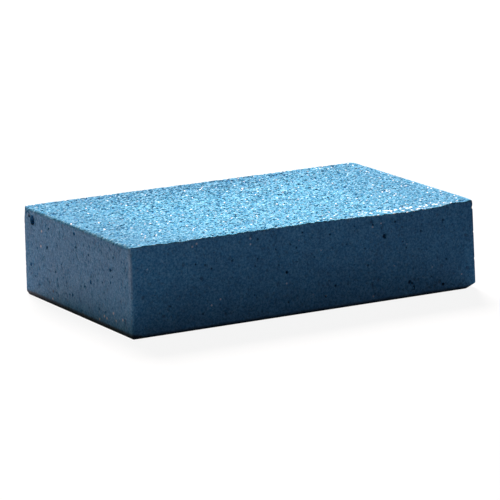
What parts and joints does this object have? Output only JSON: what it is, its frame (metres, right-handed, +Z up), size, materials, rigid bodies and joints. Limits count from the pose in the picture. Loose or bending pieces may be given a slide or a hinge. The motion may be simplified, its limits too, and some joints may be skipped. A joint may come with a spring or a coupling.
{
  "type": "grout float block",
  "caption": "Handle-less grout float: a rectangular block of blue cellular rubber, held in the palm to push grout into tile joints and rub them clean.",
  "frame": {"origin": "centre of the block's footprint, on the broad face that it lies on", "axes": "+X along the length, +Y across the width, +Z up through the thickness"},
  "size_m": [0.15, 0.09, 0.035],
  "materials": {
    "blue_cellular_rubber": "matte, open-celled on the broad faces, fine sawn skin with pinholes on the sides"
  },
  "bodies": {
    "root": {"rubber_block": "blue_cellular_rubber"}
  },
  "joints": []
}
